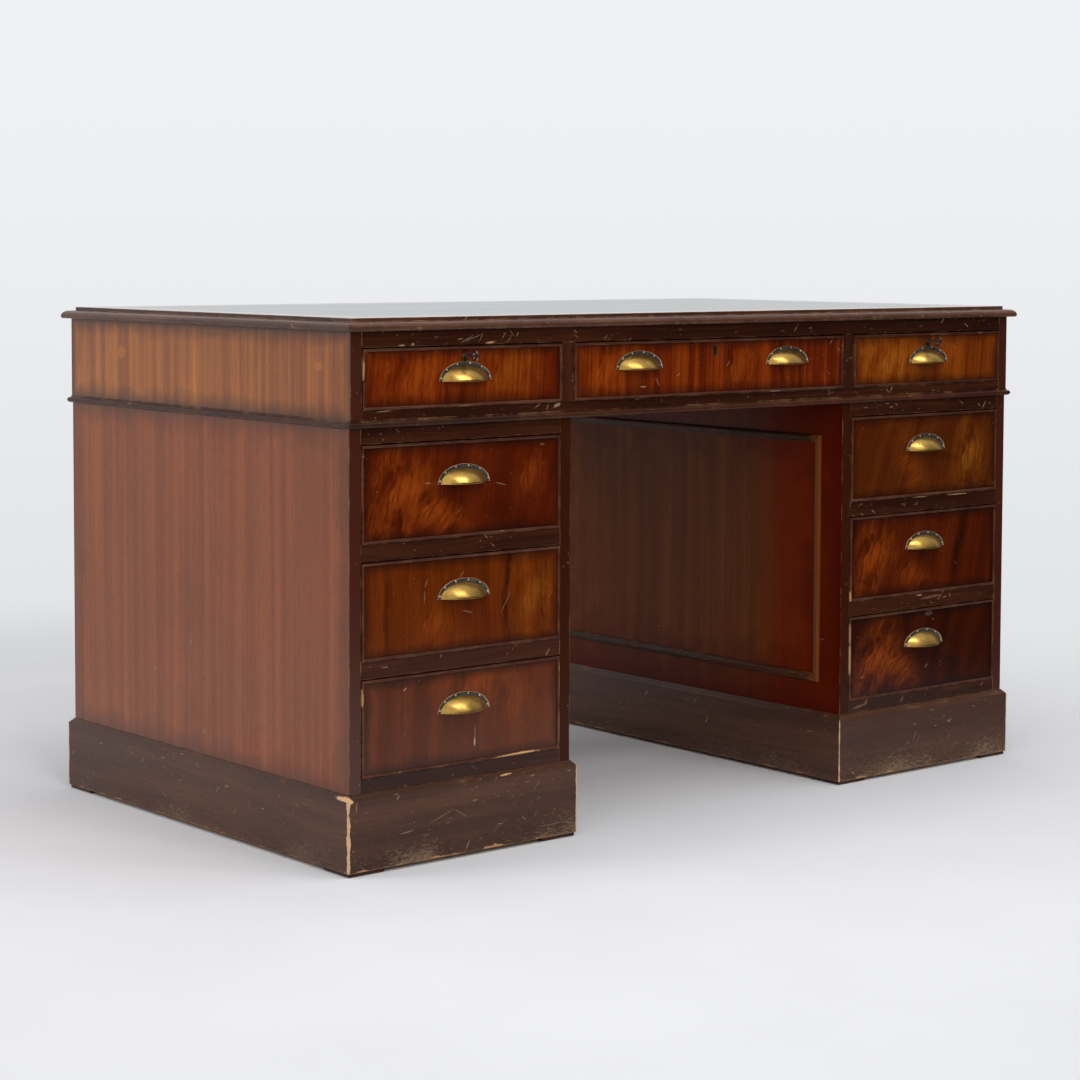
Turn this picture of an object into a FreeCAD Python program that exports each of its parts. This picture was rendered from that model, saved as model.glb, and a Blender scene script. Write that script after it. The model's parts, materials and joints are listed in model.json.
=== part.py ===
import FreeCAD
import Part
import math
import os

# Twin-pedestal mahogany writing desk, in millimetres.
# X runs to the right as the sitter sees it, the drawer fronts face -Y and Z is up.
# The origin is on the floor under the middle of the desk.

Vector = FreeCAD.Vector
ORIGIN = Vector(0, 0, 0)
X_AXIS = Vector(1, 0, 0)
Y_AXIS = Vector(0, 1, 0)
Z_AXIS = Vector(0, 0, 1)

# Plan of the frieze and the pedestals
FRIEZE_WIDTH = 1352.0
FRIEZE_DEPTH = 748.0
PEDESTAL_WIDTH = 392.0
PEDESTAL_SETBACK = 3.0

# Heights, from the floor up
GLIDE_HEIGHT = 6.0
PLINTH_HEIGHT = 105.5
PEDESTAL_BOTTOM_RAIL = 20.0
PEDESTAL_OPENING = 136.5
PEDESTAL_MID_RAIL = 24.0
PEDESTAL_TOP_RAIL = 22.0
PEDESTAL_LEVELS = ("bottom", "middle", "top")
WAIST_HEIGHT = 10.5
FRIEZE_BOTTOM_RAIL = 13.5
FRIEZE_OPENING = 85.5
FRIEZE_TOP_RAIL = 22.0
TOP_THICKNESS = 17.5

# Boards of the carcass
SIDE_BOARD = 19.0
DIVIDER = 22.0
RAIL_DEPTH = 45.0
TENON_LENGTH = 8.0
TENON_SHOULDER = 4.0
PEDESTAL_BACK = 12.0
FRIEZE_BACK = 15.0
PEDESTAL_BOARD = 12.0
RUNNER_WIDTH = 20.0
STOP_WIDTH = 30.0
STOP_DEPTH = 16.0
STOP_CLEARANCE = 2.5
STOP_INSET = 50.0
STOP_GAP = 0.3

# Plinths, with a reeded top edge, corner blocks and glides
PLINTH_BOARD = 19.0
PLINTH_PROJECTION = 8.0
PLINTH_REEDS = 3
CORNER_BLOCK = 45.0
CORNER_BLOCK_DROP = 12.0
GLIDE_SIZE = 60.0
GLIDE_INSET = 2.5
GLIDE_CHAMFER = 1.5

# Waist moulding between the pedestals and the frieze
WAIST_STRIP = 30.0
WAIST_PROJECTION = 5.5
WAIST_FILLET = 2.2
WAIST_QUIRK = 0.4

# Desk top: moulded lipping, core board and leather
TOP_OVERHANG = 12.0
EDGE_STRIP = 22.0
EDGE_UNDERCUT = 3.0
EDGE_TIP = 3.5
EDGE_ROUND_IN = 9.5
EDGE_LAND = 5.0
EDGE_STEP = 5.0
EDGE_FALL = 0.5
LEATHER_BORDER = 50.0
LEATHER_THICKNESS = 1.2

# Mouldings laid on the kneehole sides as a panel
PANEL_STRIP = 12.8
PANEL_PROUD = 6.0
PANEL_FOOT = 2.2
PANEL_CREST = 4.4
PANEL_LAND = 1.2
PANEL_SIDE_MARGIN = 45.0
PANEL_BOTTOM_MARGIN = 47.5
PANEL_TOP_MARGIN = 53.0

# Drawers
SIDE_GAP = 1.0
RUN_GAP = 0.3
TOP_GAP = 1.8
REAR_GAP = 90.0
FRONT_THICKNESS = 20.0
BEAD_WIDTH = 4.0
BEAD_COVER = 1.5
BEAD_PROUD = 2.5
DRAWER_SIDE = 10.0
DRAWER_BACK = 10.0
BACK_INSET = 8.0
BACK_DROP = 6.0
BACK_DADO = 4.0
DRAWER_BOTTOM = 5.0
BOTTOM_RISE = 8.0
BOTTOM_GROOVE = 5.0
TAIL_LENGTH = 9.0
TAIL_PITCH = 34.0
TAIL_SLOPE = 7.0
PIN_WIDTH = 9.0

# Brass cup pulls
PULL_HALF_LENGTH = 42.0
PULL_RADIUS = 22.0
PULL_WALL = 1.5
BOWL_LENGTH_FACETS = 14
BOWL_TURN_FACETS = 7
HOLLOW_LENGTH_FACETS = 10
HOLLOW_TURN_FACETS = 5
FLANGE_END = 4.0
FLANGE_TOP = 5.0
FLANGE_THICKNESS = 1.6
PEDESTAL_PULL_RISE = 7.2
PULL_BELOW_KEY = 7.75
CENTRE_PULL_RISE = 0.3
CENTRE_PULL_INSET = 127.0

# Locks of the frieze drawers, with their bolts and keys
KEY_DROP = 13.0
LOCK_WIDTH = 56.0
LOCK_HEIGHT = 34.0
LOCK_DEPTH = 9.5
LOCK_WALL = 1.5
SELVEDGE = 2.0
SELVEDGE_WIDTH = 64.0
ESCUTCHEON_RIM = 2.2
ESCUTCHEON_THICKNESS = 2.0
KEYHOLE_SPARE = 3.3
BOLT_WIDTH = 24.0
BOLT_THICKNESS = 3.0
BOLT_HEIGHT = 27.0
BOLT_THROW = 7.0
BOLT_GAP = 0.3
BOLT_WINDOW_GAP = 1.0
MORTISE_SPARE = 1.0
KEY_RADIUS = 2.2
KEY_GAP = 0.3
KEY_END_GAP = 0.5
BIT_REACH = 7.2
BIT_THICKNESS = 2.2
BIT_WIDTH = 3.6
BOW_REACH = 28.5
BOW_LENGTH = 13.0
BOW_HEIGHT = 15.0
BOW_BAND = 3.0
BOW_THICKNESS = 3.0
BOW_FACETS = 20
COLLAR_RADIUS = 3.2
COLLAR_LENGTH = 3.0
COLLAR_OUT = 9.0

# Facets in a quarter turn of a small moulding, and round a rod
ROUND_FACETS = 4
ROD_FACETS = 16

# Room left beyond a cut, so that no skin of wood stays
CUT_SPARE = 1.0

# Levels and places worked out from the sizes above
PEDESTAL_FLOOR = GLIDE_HEIGHT + PLINTH_HEIGHT
FIRST_OPENING = PEDESTAL_FLOOR + PEDESTAL_BOTTOM_RAIL
OPENING_PITCH = PEDESTAL_OPENING + PEDESTAL_MID_RAIL
LAST_OPENING_TOP = FIRST_OPENING + (len(PEDESTAL_LEVELS) - 1) * OPENING_PITCH + PEDESTAL_OPENING
PEDESTAL_TOP = LAST_OPENING_TOP + PEDESTAL_TOP_RAIL
FRIEZE_FLOOR = PEDESTAL_TOP + WAIST_HEIGHT
FRIEZE_OPENING_FLOOR = FRIEZE_FLOOR + FRIEZE_BOTTOM_RAIL
FRIEZE_OPENING_TOP = FRIEZE_OPENING_FLOOR + FRIEZE_OPENING
FRIEZE_TOP = FRIEZE_OPENING_TOP + FRIEZE_TOP_RAIL
DESK_TOP = FRIEZE_TOP + TOP_THICKNESS

FRIEZE_END = FRIEZE_WIDTH / 2
FRIEZE_FACE = -FRIEZE_DEPTH / 2
FRIEZE_REAR = FRIEZE_DEPTH / 2
PEDESTAL_FACE = FRIEZE_FACE + PEDESTAL_SETBACK
PEDESTAL_REAR = FRIEZE_REAR - PEDESTAL_SETBACK
KNEEHOLE_HALF = FRIEZE_END - PEDESTAL_WIDTH
BAY_INNER = KNEEHOLE_HALF + SIDE_BOARD
BAY_OUTER = FRIEZE_END - SIDE_BOARD
BAY_WIDTH = BAY_OUTER - BAY_INNER
BAY_CENTRE = (BAY_INNER + BAY_OUTER) / 2
DIVIDER_INNER = BAY_INNER - DIVIDER
PEDESTAL_CENTRE = FRIEZE_END - PEDESTAL_WIDTH / 2

DRAWER_LENGTH = PEDESTAL_REAR - PEDESTAL_BACK - REAR_GAP - PEDESTAL_FACE
STOP_HEIGHT = BOTTOM_RISE - STOP_CLEARANCE
KEY_LEVEL = FRIEZE_OPENING_TOP - TOP_GAP - KEY_DROP
LOCK_FRONT = FRONT_THICKNESS - LOCK_DEPTH
BOLT_MIDDLE = FRONT_THICKNESS - LOCK_DEPTH / 2
BEAD_SEAT = LOCK_FRONT - BEAD_COVER
EYE_RADIUS = KEY_RADIUS + KEY_GAP
KEYHOLE_DROP = BIT_REACH + KEYHOLE_SPARE
PULL_HEIGHT = PULL_RADIUS + FLANGE_TOP


def box(x0, x1, y0, y1, z0, z1):
    """Block between two corners."""
    return Part.makeBox(x1 - x0, y1 - y0, z1 - z0, Vector(x0, y0, z0))


def fused(solids):
    """One solid from several that meet."""
    return solids[0].multiFuse(solids[1:]).removeSplitter().Solids[0]


def mirrored(solids):
    """Solids of the right half, followed by their mirror images on the left."""
    return solids + [solid.mirror(ORIGIN, X_AXIS) for solid in solids]


def rounded(start, corner, end):
    """Points that round off a corner of an outline from start to end, the start itself left out."""
    points = []
    for step in range(1, ROUND_FACETS + 1):
        angle = math.pi / 2 * step / ROUND_FACETS
        near = 1 - math.sin(angle)
        far = 1 - math.cos(angle)
        points.append(tuple(c + near * (a - c) + far * (b - c) for a, c, b in zip(start, corner, end)))
    return points


def outline(*corners):
    """Closed face in the XY plane through the given corners."""
    loop = [Vector(x, y, 0) for x, y in corners]
    return Part.Face(Part.makePolygon(loop + loop[:1]))


def along_x(corners, start, end):
    """Prism along X through corners in the YZ plane."""
    face = outline(*corners)
    face.rotate(ORIGIN, Vector(1, 1, 1), 120)
    face.translate(Vector(start, 0, 0))
    return face.extrude(Vector(end - start, 0, 0))


def along_y(corners, start, end):
    """Prism along Y through corners in the XZ plane."""
    face = outline(*corners)
    face.rotate(ORIGIN, X_AXIS, 90)
    face.translate(Vector(0, start, 0))
    return face.extrude(Vector(0, end - start, 0))


def oval(half_x, half_y, facets, turn):
    """Corners of part of an oval about the origin, from its +X end through the given turn."""
    angles = [turn * step / facets for step in range(facets + 1)]
    return [(half_x * math.cos(angle), half_y * math.sin(angle)) for angle in angles]


def rod(radius, start, end):
    """Faceted rod along the Y axis."""
    return along_y(oval(radius, radius, ROD_FACETS, 2 * math.pi)[:-1], start, end)


def mitred_frame(width, height, section):
    """Four strips round a rectangle in the XY plane, mitred at its corners.

    The section's x runs inwards from the rectangle's edge, and its y is the strip's thickness along Z.
    """
    bounds = section.BoundBox
    deep = bounds.XMax + CUT_SPARE
    strips = []
    for turn in range(4):
        length = width if turn % 2 == 0 else height
        reach = height / 2 if turn % 2 == 0 else width / 2
        face = section.copy()
        face.rotate(ORIGIN, Vector(1, 1, 1), 120)
        face.translate(Vector(-length / 2, -reach, 0))
        strip = face.extrude(Vector(length, 0, 0))
        mitre = outline(
            (-length / 2, -reach),
            (length / 2, -reach),
            (length / 2 - deep, deep - reach),
            (deep - length / 2, deep - reach),
        )
        mitre.translate(Vector(0, 0, bounds.YMin - CUT_SPARE))
        prism = mitre.extrude(Vector(0, 0, bounds.YLength + 2 * CUT_SPARE))
        strip = strip.common(prism).Solids[0]
        strip.rotate(ORIGIN, Z_AXIS, 90 * turn)
        strips.append(strip)
    return strips


def rail(x0, x1, face, z0, height):
    """Rail between two uprights, with a stub tenon at each end."""
    body = box(x0, x1, face, face + RAIL_DEPTH, z0, z0 + height)
    tongue = box(
        x0 - TENON_LENGTH,
        x1 + TENON_LENGTH,
        face + TENON_SHOULDER,
        face + RAIL_DEPTH - TENON_SHOULDER,
        z0 + TENON_SHOULDER,
        z0 + height - TENON_SHOULDER,
    )
    return fused([body, tongue])


def dome(half_length, radius, length_facets, turn_facets):
    """Quarter of an oval turned about the X axis, between the planes y = 0 and z = 0."""
    profile = oval(half_length, radius, length_facets, math.pi)[1:-1]
    ends = [Vector(half_length, 0, 0), Vector(-half_length, 0, 0)]
    rows = []
    for step in range(turn_facets + 1):
        angle = math.pi / 2 * step / turn_facets
        row = [Vector(x, -r * math.sin(angle), r * math.cos(angle)) for x, r in profile]
        rows.append([ends[0]] + row + [ends[1]])
    loops = [rows[0], rows[-1]]
    for near, far in zip(rows, rows[1:]):
        loops.append([ends[0], near[1], far[1]])
        loops.append([ends[1], near[-2], far[-2]])
        for place in range(1, length_facets - 1):
            loops.append([near[place], near[place + 1], far[place + 1], far[place]])
    faces = [Part.Face(Part.makePolygon(loop + loop[:1])) for loop in loops]
    solid = Part.makeSolid(Part.makeShell(faces))
    if solid.Volume < 0:
        solid.reverse()
    return solid


def cup_pull():
    """Cup pull on the plane y = 0, with its mouth in the plane z = 0, open downwards."""
    bowl = dome(PULL_HALF_LENGTH, PULL_RADIUS, BOWL_LENGTH_FACETS, BOWL_TURN_FACETS)
    inside = (PULL_HALF_LENGTH - PULL_WALL, PULL_RADIUS - PULL_WALL)
    hollow = dome(*inside, HOLLOW_LENGTH_FACETS, HOLLOW_TURN_FACETS)
    rim = oval(PULL_HALF_LENGTH + FLANGE_END, PULL_HEIGHT, BOWL_LENGTH_FACETS, math.pi)
    flange = along_y(rim, -FLANGE_THICKNESS, 0)
    return fused([bowl, flange]).cut(hollow).Solids[0]


def keyhole(start, end):
    """Keyhole along Y about the key's axis: a round eye over a slot, both with room for the key."""
    eye = rod(EYE_RADIUS, start, end)
    half = BIT_THICKNESS / 2 + KEY_GAP
    slot = box(-half, half, start, end, -KEYHOLE_DROP, 0)
    return fused([eye, slot])


def escutcheon_blank():
    """Pill-shaped plate let into the drawer front, with a rim round the keyhole."""
    end = EYE_RADIUS + ESCUTCHEON_RIM
    foot = EYE_RADIUS - KEYHOLE_DROP
    top = oval(end, end, 2 * ROUND_FACETS, math.pi)
    low = [(-x, foot - z) for x, z in top]
    return along_y(top + low, 0, ESCUTCHEON_THICKNESS)


def lock_blank():
    """Outside of the lock case and its selvedge, about the key's axis."""
    low = KEY_DROP - LOCK_HEIGHT
    case = box(-LOCK_WIDTH / 2, LOCK_WIDTH / 2, LOCK_FRONT, FRONT_THICKNESS, low, KEY_DROP - SELVEDGE)
    half = SELVEDGE_WIDTH / 2
    plate = box(-half, half, LOCK_FRONT, FRONT_THICKNESS, KEY_DROP - SELVEDGE, KEY_DROP)
    return fused([case, plate])


def bolt_blank(spare):
    """Lock bolt about the key's axis, with room all round if spare is given."""
    half_width = BOLT_WIDTH / 2 + spare
    half_depth = BOLT_THICKNESS / 2 + spare
    low = KEY_DROP - BOLT_HEIGHT
    return box(-half_width, half_width, BOLT_MIDDLE - half_depth, BOLT_MIDDLE + half_depth, low, KEY_DROP)


def lock_pieces():
    """Lock case with its bolt slot and keyhole, and the escutcheon."""
    room = box(
        LOCK_WALL - LOCK_WIDTH / 2,
        LOCK_WIDTH / 2 - LOCK_WALL,
        LOCK_FRONT + LOCK_WALL,
        FRONT_THICKNESS - LOCK_WALL,
        KEY_DROP - LOCK_HEIGHT + LOCK_WALL,
        KEY_DROP - SELVEDGE,
    )
    slot = bolt_blank(BOLT_GAP)
    slot.translate(Vector(0, 0, CUT_SPARE))
    case = lock_blank().cut(room).cut(slot)
    case = case.cut(keyhole(LOCK_FRONT - CUT_SPARE, LOCK_FRONT + LOCK_WALL))
    plate = escutcheon_blank().cut(keyhole(-CUT_SPARE, ESCUTCHEON_THICKNESS + CUT_SPARE))
    return [case.Solids[0], plate.Solids[0]]


def lock_bolt():
    """Lock bolt with the window in which the key's bit works."""
    half = BIT_REACH + KEY_END_GAP
    top = max(KEY_RADIUS, BIT_REACH - BOLT_THROW) + BOLT_WINDOW_GAP
    bottom = max(BIT_REACH, KEY_RADIUS + BOLT_THROW) + BOLT_WINDOW_GAP
    window = box(-half, half, 0, FRONT_THICKNESS, -bottom, top)
    return bolt_blank(0).cut(window).Solids[0]


def lock_key():
    """Key in its lock with the bit hanging down, about the key's axis."""
    tip = FRONT_THICKNESS - LOCK_WALL - KEY_END_GAP
    bow_centre = BOW_LENGTH / 2 - BOW_REACH
    root = BOW_LENGTH - BOW_BAND / 2 - BOW_REACH
    stem = Part.makeCylinder(KEY_RADIUS, tip - root, Vector(0, root, 0), Y_AXIS)
    collar = rod(COLLAR_RADIUS, -COLLAR_OUT, COLLAR_LENGTH - COLLAR_OUT)
    bit = box(
        -BIT_THICKNESS / 2,
        BIT_THICKNESS / 2,
        BOLT_MIDDLE - BIT_WIDTH / 2,
        BOLT_MIDDLE + BIT_WIDTH / 2,
        -BIT_REACH,
        0,
    )
    rings = []
    for inset in (0, BOW_BAND):
        rim = oval(BOW_LENGTH / 2 - inset, BOW_HEIGHT / 2 - inset, BOW_FACETS, 2 * math.pi)[:-1]
        ring = along_x(rim, -BOW_THICKNESS / 2, BOW_THICKNESS / 2)
        ring.translate(Vector(0, bow_centre, 0))
        rings.append(ring)
    bow = rings[0].fuse(stem).cut(rings[1])
    return fused([bow.Solids[0], collar, bit])


def drawer_side(height):
    """Left drawer side from its outer face, with the dovetails that enter the front."""
    tails = max(2, round(height / TAIL_PITCH))
    pitch = height / tails
    flare = TAIL_LENGTH / TAIL_SLOPE
    tip = FRONT_THICKNESS - TAIL_LENGTH
    corners = [(DRAWER_LENGTH, 0), (DRAWER_LENGTH, height), (FRONT_THICKNESS, height)]
    for tail in reversed(range(tails)):
        high = (tail + 1) * pitch - PIN_WIDTH / 2
        low = tail * pitch + PIN_WIDTH / 2
        corners.append((FRONT_THICKNESS, high))
        corners.append((tip, high + flare))
        corners.append((tip, low - flare))
        corners.append((FRONT_THICKNESS, low))
    corners.append((FRONT_THICKNESS, 0))
    return along_x(corners, 0, DRAWER_SIDE)


def bead_section():
    """Cock bead: a square strip with a half-round nose."""
    nose = BEAD_WIDTH / 2
    shoulder = BEAD_PROUD - nose
    crest = (nose, BEAD_PROUD)
    return outline(
        (0, -BEAD_SEAT),
        (BEAD_WIDTH, -BEAD_SEAT),
        (BEAD_WIDTH, shoulder),
        *rounded((BEAD_WIDTH, shoulder), (BEAD_WIDTH, BEAD_PROUD), crest),
        *rounded(crest, (0, BEAD_PROUD), (0, shoulder)),
    )


def drawer(opening_width, opening_height, locked):
    """Front, beads and box of one drawer, about the middle of its lower front edge."""
    width = opening_width - 2 * SIDE_GAP
    height = opening_height - RUN_GAP - TOP_GAP
    half = width / 2
    inner = half - DRAWER_SIDE

    beads = mitred_frame(width, height, bead_section())
    for bead in beads:
        bead.rotate(ORIGIN, X_AXIS, 90)
        bead.translate(Vector(0, 0, height / 2))

    rear = DRAWER_LENGTH - BACK_INSET
    floor_top = BOTTOM_RISE + DRAWER_BOTTOM
    groove = inner + BOTTOM_GROOVE
    bottom = box(-groove, groove, FRONT_THICKNESS - BOTTOM_GROOVE, rear, BOTTOM_RISE, floor_top)
    dado = inner + BACK_DADO
    back = box(-dado, dado, rear - DRAWER_BACK, rear, floor_top, height - BACK_DROP)
    left = drawer_side(height)
    left.translate(Vector(-half, 0, 0))
    sides = mirrored([left])

    field = box(BEAD_WIDTH - half, half - BEAD_WIDTH, 0, BEAD_SEAT, BEAD_WIDTH, height - BEAD_WIDTH)
    slab = box(-half, half, BEAD_SEAT, FRONT_THICKNESS, 0, height)
    front = field.fuse(slab).removeSplitter()
    front = front.cut(Part.Compound(sides + [bottom]))
    if locked:
        key_axis = Vector(0, 0, height - KEY_DROP)
        for blank in (escutcheon_blank(), lock_blank(), keyhole(-CUT_SPARE, LOCK_FRONT)):
            blank.translate(key_axis)
            front = front.cut(blank)
    sides = [side.cut(Part.Compound([bottom, back])).Solids[0] for side in sides]
    return [front.Solids[0]], beads, sides + [back, bottom]


def moved(solids, x, y, z):
    """Copies of solids at another place."""
    copies = []
    for solid in solids:
        copy = solid.copy()
        copy.translate(Vector(x, y, z))
        copies.append(copy)
    return copies


def add_drawer(nodes, name, pieces, x, face, floor, pulls):
    """Put one drawer's nodes in its opening, with its pulls at the given places and height."""
    for kind, solids in zip(("front", "beads", "box"), pieces):
        nodes[f"{name}_{kind}"] = moved(solids, x, face, floor + RUN_GAP)
    nodes[name + ("_pulls" if len(pulls) > 1 else "_pull")] = moved(pulls, x, face, floor)


def add_lock(nodes, name, x, with_key):
    """Put one lock, its bolt and any key in a frieze drawer's front."""
    place = (x, FRIEZE_FACE, KEY_LEVEL)
    nodes[name + "_lock"] = moved(lock_pieces(), *place)
    nodes[name + "_lock_bolt"] = moved([lock_bolt()], *place)
    if with_key:
        nodes[name + "_key"] = moved([lock_key()], *place)


def bolt_mortise(x):
    """Mortise in the frieze's top rail that the thrown bolt enters."""
    head = bolt_blank(BOLT_GAP)
    head.translate(Vector(x, FRIEZE_FACE, KEY_LEVEL + BOLT_THROW + MORTISE_SPARE))
    return head


def edge_section():
    """Lipping of the top: rounded nose, falling shoulder and a step up to the flat border."""
    shoulder = TOP_THICKNESS - EDGE_STEP
    nose_top = shoulder - EDGE_FALL
    step_in = EDGE_STRIP - EDGE_LAND
    return outline(
        (EDGE_STRIP, 0),
        (EDGE_STRIP, TOP_THICKNESS),
        (step_in, TOP_THICKNESS),
        (step_in, shoulder),
        (EDGE_ROUND_IN, nose_top),
        *rounded((EDGE_ROUND_IN, nose_top), (0, nose_top), (0, EDGE_TIP)),
        *rounded((0, EDGE_TIP), (0, 0), (EDGE_UNDERCUT, 0)),
    )


def desk_top():
    """Lipping, core board and leather of the desk top."""
    width = FRIEZE_WIDTH + 2 * TOP_OVERHANG
    depth = FRIEZE_DEPTH + 2 * TOP_OVERHANG
    lipping = moved(mitred_frame(width, depth, edge_section()), 0, 0, FRIEZE_TOP)
    half_x = width / 2 - EDGE_STRIP
    half_y = depth / 2 - EDGE_STRIP
    core = box(-half_x, half_x, -half_y, half_y, FRIEZE_TOP, DESK_TOP)
    hide_x = half_x - LEATHER_BORDER
    hide_y = half_y - LEATHER_BORDER
    leather = box(-hide_x, hide_x, -hide_y, hide_y, DESK_TOP - LEATHER_THICKNESS, DESK_TOP)
    return lipping, [core.cut(leather).Solids[0]], [leather]


def waist_section():
    """Waist moulding: a half-round nose under a small fillet."""
    nose = (WAIST_HEIGHT - WAIST_FILLET) / 2
    fillet_in = nose + WAIST_QUIRK
    return outline(
        (WAIST_STRIP, 0),
        (WAIST_STRIP, WAIST_HEIGHT),
        (fillet_in, WAIST_HEIGHT),
        (fillet_in, 2 * nose),
        (nose, 2 * nose),
        *rounded((nose, 2 * nose), (0, 2 * nose), (0, nose)),
        *rounded((0, nose), (0, 0), (nose, 0)),
    )


def waist_moulding():
    """Moulding round the foot of the frieze, and the bearers under its dividers."""
    width = FRIEZE_WIDTH + 2 * WAIST_PROJECTION
    depth = FRIEZE_DEPTH + 2 * WAIST_PROJECTION
    strips = moved(mitred_frame(width, depth, waist_section()), 0, 0, PEDESTAL_TOP)
    end = depth / 2 - WAIST_STRIP
    bearer = box(DIVIDER_INNER, BAY_INNER, -end, end, PEDESTAL_TOP, FRIEZE_FLOOR)
    return strips + mirrored([bearer])


def frieze():
    """Ends, rails, dividers and back of the frieze."""
    end = box(BAY_OUTER, FRIEZE_END, FRIEZE_FACE, FRIEZE_REAR, FRIEZE_FLOOR, FRIEZE_TOP)
    low_rail = rail(-BAY_OUTER, BAY_OUTER, FRIEZE_FACE, FRIEZE_FLOOR, FRIEZE_BOTTOM_RAIL)
    top_rail = rail(-BAY_OUTER, BAY_OUTER, FRIEZE_FACE, FRIEZE_OPENING_TOP, FRIEZE_TOP_RAIL)
    rails = Part.Compound([low_rail, top_rail])
    ends = [solid.cut(rails).Solids[0] for solid in mirrored([end])]
    rear = FRIEZE_REAR - FRIEZE_BACK
    upright = box(DIVIDER_INNER, BAY_INNER, FRIEZE_FACE, rear, FRIEZE_FLOOR, FRIEZE_TOP)
    dividers = mirrored([upright.cut(rails).Solids[0]])
    back = box(-BAY_OUTER, BAY_OUTER, rear, FRIEZE_REAR, FRIEZE_FLOOR, FRIEZE_TOP)
    mortises = [bolt_mortise(x) for x in (-BAY_CENTRE, 0, BAY_CENTRE)]
    top_rail = top_rail.cut(Part.Compound(mortises)).Solids[0]
    return ends, [low_rail, top_rail], dividers, back


def opening_floor(level):
    """Height of a pedestal opening's floor, counted from the lowest."""
    return FIRST_OPENING + level * OPENING_PITCH


def pedestal():
    """Outer side, inner side, rails, boards and back of the right pedestal."""
    outer = box(BAY_OUTER, FRIEZE_END, PEDESTAL_FACE, PEDESTAL_REAR, PEDESTAL_FLOOR, PEDESTAL_TOP)
    inner = box(KNEEHOLE_HALF, BAY_INNER, PEDESTAL_FACE, PEDESTAL_REAR, PEDESTAL_FLOOR, PEDESTAL_TOP)
    rails = [rail(BAY_INNER, BAY_OUTER, PEDESTAL_FACE, PEDESTAL_FLOOR, PEDESTAL_BOTTOM_RAIL)]
    for level in range(1, len(PEDESTAL_LEVELS)):
        low = opening_floor(level) - PEDESTAL_MID_RAIL
        rails.append(rail(BAY_INNER, BAY_OUTER, PEDESTAL_FACE, low, PEDESTAL_MID_RAIL))
    rails.append(rail(BAY_INNER, BAY_OUTER, PEDESTAL_FACE, LAST_OPENING_TOP, PEDESTAL_TOP_RAIL))
    mortises = Part.Compound(rails)
    rear = PEDESTAL_REAR - PEDESTAL_BACK
    boards = []
    for low in (PEDESTAL_FLOOR, PEDESTAL_TOP - PEDESTAL_BOARD):
        boards.append(box(BAY_INNER, BAY_OUTER, PEDESTAL_FACE + RAIL_DEPTH, rear, low, low + PEDESTAL_BOARD))
    back = box(BAY_INNER, BAY_OUTER, rear, PEDESTAL_REAR, PEDESTAL_FLOOR, PEDESTAL_TOP)
    return outer.cut(mortises).Solids[0], inner.cut(mortises).Solids[0], rails, boards, back


def strip_pair(x0, x1, face, rear, z0, z1):
    """Two strips along the sides of a drawer's bay, behind its rails."""
    front = face + RAIL_DEPTH
    left = box(x0, x0 + RUNNER_WIDTH, front, rear, z0, z1)
    right = box(x1 - RUNNER_WIDTH, x1, front, rear, z0, z1)
    return [left, right]


def stop_pair(x0, x1, face, floor):
    """Two blocks on the rail that stop a drawer as it closes."""
    near = face + FRONT_THICKNESS + STOP_GAP
    blocks = []
    for x in (x0 + STOP_INSET, x1 - STOP_INSET - STOP_WIDTH):
        blocks.append(box(x, x + STOP_WIDTH, near, near + STOP_DEPTH, floor, floor + STOP_HEIGHT))
    return blocks


def runners():
    """Runners, kickers and stops of every drawer."""
    rear = PEDESTAL_REAR - PEDESTAL_BACK
    bay = (BAY_INNER, BAY_OUTER, PEDESTAL_FACE, rear)
    pieces = strip_pair(*bay, PEDESTAL_FLOOR + PEDESTAL_BOARD, FIRST_OPENING)
    for level in range(1, len(PEDESTAL_LEVELS)):
        floor = opening_floor(level)
        pieces += strip_pair(*bay, floor - PEDESTAL_MID_RAIL, floor)
    pieces += strip_pair(*bay, LAST_OPENING_TOP, PEDESTAL_TOP - PEDESTAL_BOARD)
    for level in range(len(PEDESTAL_LEVELS)):
        pieces += stop_pair(BAY_INNER, BAY_OUTER, PEDESTAL_FACE, opening_floor(level))

    rear = FRIEZE_REAR - FRIEZE_BACK
    pieces += strip_pair(BAY_INNER, BAY_OUTER, FRIEZE_FACE, rear, FRIEZE_FLOOR, FRIEZE_OPENING_FLOOR)
    pieces += strip_pair(BAY_INNER, BAY_OUTER, FRIEZE_FACE, rear, FRIEZE_OPENING_TOP, FRIEZE_TOP)
    pieces += stop_pair(BAY_INNER, BAY_OUTER, FRIEZE_FACE, FRIEZE_OPENING_FLOOR)
    pieces = mirrored(pieces)
    centre = (-DIVIDER_INNER, DIVIDER_INNER, FRIEZE_FACE)
    pieces += strip_pair(*centre, rear, FRIEZE_FLOOR, FRIEZE_OPENING_FLOOR)
    pieces += strip_pair(*centre, rear, FRIEZE_OPENING_TOP, FRIEZE_TOP)
    return pieces + stop_pair(*centre, FRIEZE_OPENING_FLOOR)


def plinth_section():
    """Plinth board with small reeds stepping back to the pedestal's face."""
    reed = PLINTH_PROJECTION / PLINTH_REEDS
    shoulder = PLINTH_HEIGHT - PLINTH_PROJECTION
    corners = [(0, 0), (PLINTH_BOARD, 0), (PLINTH_BOARD, PLINTH_HEIGHT), (PLINTH_PROJECTION, PLINTH_HEIGHT)]
    for step in reversed(range(PLINTH_REEDS)):
        low = (step * reed, shoulder + step * reed)
        high = (low[0] + reed, low[1] + reed)
        corners += rounded(high, (low[0], high[1]), low)
    return outline(*corners)


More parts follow.
